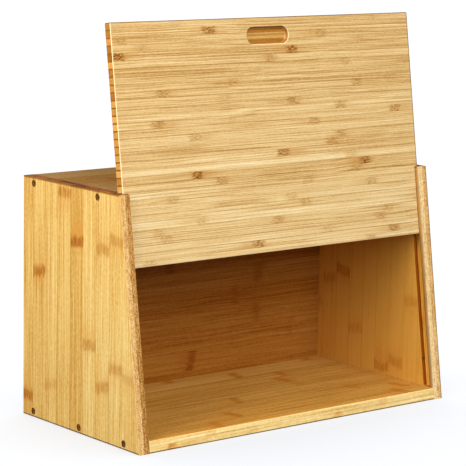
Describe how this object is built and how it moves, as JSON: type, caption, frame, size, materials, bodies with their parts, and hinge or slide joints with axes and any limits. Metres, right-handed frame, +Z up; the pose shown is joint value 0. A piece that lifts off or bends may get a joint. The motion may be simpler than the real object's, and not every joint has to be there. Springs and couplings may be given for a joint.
{
  "type": "bread bin",
  "caption": "Bamboo bread bin with a sloping front, and a grooved door with a finger pocket that slides up to open it.",
  "frame": {"origin": "centre of the footprint, on the surface that the case stands on", "axes": "+X to the right seen from the front, +Y to the back, +Z up; the sloping front faces -Y"},
  "size_m": [0.4, 0.2, 0.4057],
  "materials": {
    "bamboo_case": "clear satin lacquer on flat-pressed bamboo",
    "bamboo_door": "clear satin lacquer on side-pressed bamboo",
    "bronzed_steel": "dull bronzed"
  },
  "bodies": {
    "case": {"left_side": "bamboo_case", "right_side": "bamboo_case", "top_panel": "bamboo_case", "base_panel": "bamboo_case", "back_panel": "bamboo_case", "screw_left_top_rear": "bronzed_steel", "screw_left_top_front": "bronzed_steel", "screw_left_base_rear": "bronzed_steel", "screw_left_base_middle": "bronzed_steel", "screw_left_base_front": "bronzed_steel", "screw_right_top_rear": "bronzed_steel", "screw_right_top_front": "bronzed_steel", "screw_right_base_rear": "bronzed_steel", "screw_right_base_middle": "bronzed_steel", "screw_right_base_front": "bronzed_steel"},
    "door": {"sliding_door": "bamboo_door"}
  },
  "joints": [
    {"name": "door_slide", "type": "slide", "parent": "case", "child": "door", "axis": [0, 0.1454, 0.9894], "range_m": [-0.1624, 0.06]}
  ]
}
